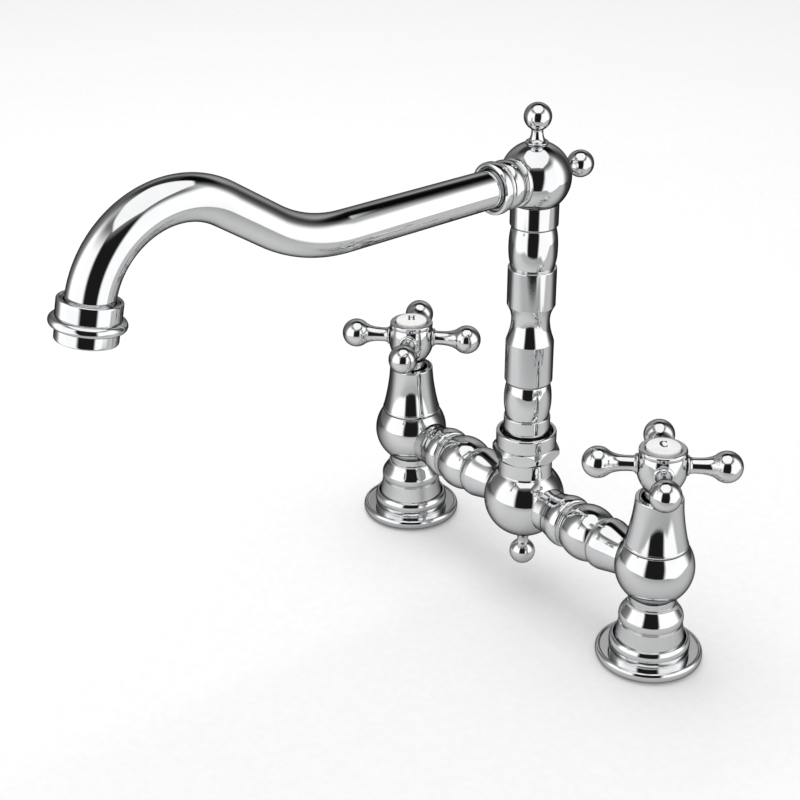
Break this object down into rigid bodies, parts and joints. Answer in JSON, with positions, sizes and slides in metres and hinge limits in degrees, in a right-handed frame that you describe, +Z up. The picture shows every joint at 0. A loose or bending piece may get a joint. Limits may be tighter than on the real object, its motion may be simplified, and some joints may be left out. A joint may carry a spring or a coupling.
{
  "type": "bridge kitchen faucet",
  "caption": "Deck-standing bridge kitchen faucet: pillar valves with cross handles and porcelain index buttons, joined by a turned bridge under a swivelling swan-neck spout.",
  "frame": {"origin": "on the deck plane, under the middle of the object's box", "axes": "+Z up from the deck, -Y forward along the spout at rest, -X towards the hot pillar"},
  "size_m": [0.2373, 0.286, 0.259],
  "materials": {
    "chrome": "polished",
    "brass": "satin",
    "porcelain": "gloss",
    "disc_ceramic": "satin",
    "rubber": "matte",
    "nylon": "satin"
  },
  "bodies": {
    "body": {"hot_deck_flange": "chrome", "hot_deck_gasket": "rubber", "hot_pillar_foot": "chrome", "hot_valve_body": "chrome", "hot_bonnet": "chrome", "hot_cartridge_body": "brass", "hot_cartridge_seal": "rubber", "hot_fixed_disc": "disc_ceramic", "cold_deck_flange": "chrome", "cold_deck_gasket": "rubber", "cold_pillar_foot": "chrome", "cold_valve_body": "chrome", "cold_bonnet": "chrome", "cold_cartridge_body": "brass", "cold_cartridge_seal": "rubber", "cold_fixed_disc": "disc_ceramic", "hot_bridge_arm": "chrome", "cold_bridge_arm": "chrome", "centre_body": "chrome", "bottom_finial": "chrome", "swivel_nut": "chrome", "swivel_bush": "nylon"},
    "hot_handle": {"hot_moving_disc": "disc_ceramic", "hot_spindle": "brass", "hot_spindle_seal": "rubber", "hot_spindle_clip": "brass", "hot_handle_hub": "chrome", "hot_handle_arm_1": "chrome", "hot_handle_arm_2": "chrome", "hot_handle_arm_3": "chrome", "hot_handle_arm_4": "chrome", "hot_handle_screw": "brass", "hot_index_button": "porcelain"},
    "cold_handle": {"cold_moving_disc": "disc_ceramic", "cold_spindle": "brass", "cold_spindle_seal": "rubber", "cold_spindle_clip": "brass", "cold_handle_hub": "chrome", "cold_handle_arm_1": "chrome", "cold_handle_arm_2": "chrome", "cold_handle_arm_3": "chrome", "cold_handle_arm_4": "chrome", "cold_handle_screw": "brass", "cold_index_button": "porcelain"},
    "spout": {"swivel_retaining_ring": "brass", "spout_column": "chrome", "swivel_seal_lower": "rubber", "swivel_seal_upper": "rubber", "top_ball": "chrome", "top_finial": "chrome", "back_finial": "chrome", "spout_socket": "chrome", "spout_tube": "chrome", "nozzle": "chrome", "aerator": "nylon", "aerator_washer": "rubber"}
  },
  "joints": [
    {"name": "hot_handle_turn", "type": "hinge", "parent": "body", "child": "hot_handle", "pos_m": [-0.09, 0.10791, 0.1034], "axis": [0, 0, 1], "range_deg": [0, 90]},
    {"name": "cold_handle_turn", "type": "hinge", "parent": "body", "child": "cold_handle", "pos_m": [0.09, 0.10791, 0.1034], "axis": [0, 0, 1], "range_deg": [-90, 0]},
    {"name": "spout_swivel", "type": "hinge", "parent": "body", "child": "spout", "pos_m": [0, 0.10791, 0.0781], "axis": [0, 0, 1], "continuous": true}
  ]
}
